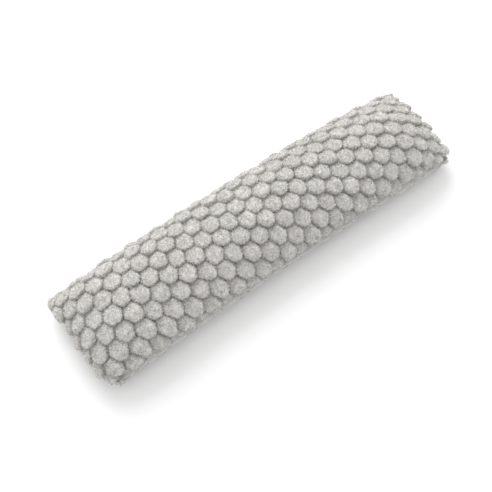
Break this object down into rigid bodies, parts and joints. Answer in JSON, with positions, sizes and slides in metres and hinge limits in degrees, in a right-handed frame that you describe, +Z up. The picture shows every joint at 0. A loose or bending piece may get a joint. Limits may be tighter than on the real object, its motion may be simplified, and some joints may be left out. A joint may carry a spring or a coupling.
{
  "type": "draught excluder",
  "caption": "Long filled floor cushion of pale grey short-pile plush embossed with hexagonal puffs, sewn all round, that lies along the foot of a door to stop draughts.",
  "frame": {"origin": "on the floor, under the middle of the cushion's box", "axes": "+X along the cushion, +Y across it from the front long seam to the back one, +Z up out of the front face"},
  "size_m": [0.86, 0.227, 0.0924],
  "materials": {
    "grey_plush": "pale warm grey short-pile plush, embossed in hexagonal puffs, matt with a soft sheen"
  },
  "bodies": {
    "root": {"cushion": "grey_plush"}
  },
  "joints": []
}
